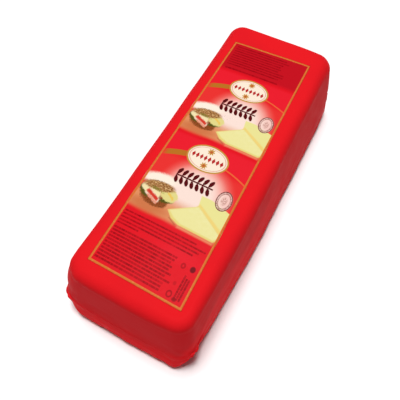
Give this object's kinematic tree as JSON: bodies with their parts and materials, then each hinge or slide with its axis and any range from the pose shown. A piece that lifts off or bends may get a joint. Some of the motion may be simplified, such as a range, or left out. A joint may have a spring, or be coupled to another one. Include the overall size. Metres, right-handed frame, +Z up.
{
  "type": "wrapped cheese loaf",
  "caption": "Long rectangular loaf of semi-hard cheese in a tight red film, with a printed label on its slightly crowned top and a flat underside to rest on.",
  "frame": {"origin": "middle of the underside of the bounding box, on the flat face that the loaf rests on", "axes": "+Y along the loaf, away from the end with the cross seal; +Z up; +X to the right as seen from the end with the cross seal"},
  "size_m": [0.1173, 0.3025, 0.0805],
  "materials": {
    "cheese": "pale yellow, smooth and slightly waxy",
    "film": "bright red plastic film, satin, drawn tight",
    "label": "printed crimson sheet with a gold frame line, satin"
  },
  "bodies": {
    "root": {"cheese_block": "cheese", "film_wrap": "film", "label_sheet": "label"}
  },
  "joints": []
}
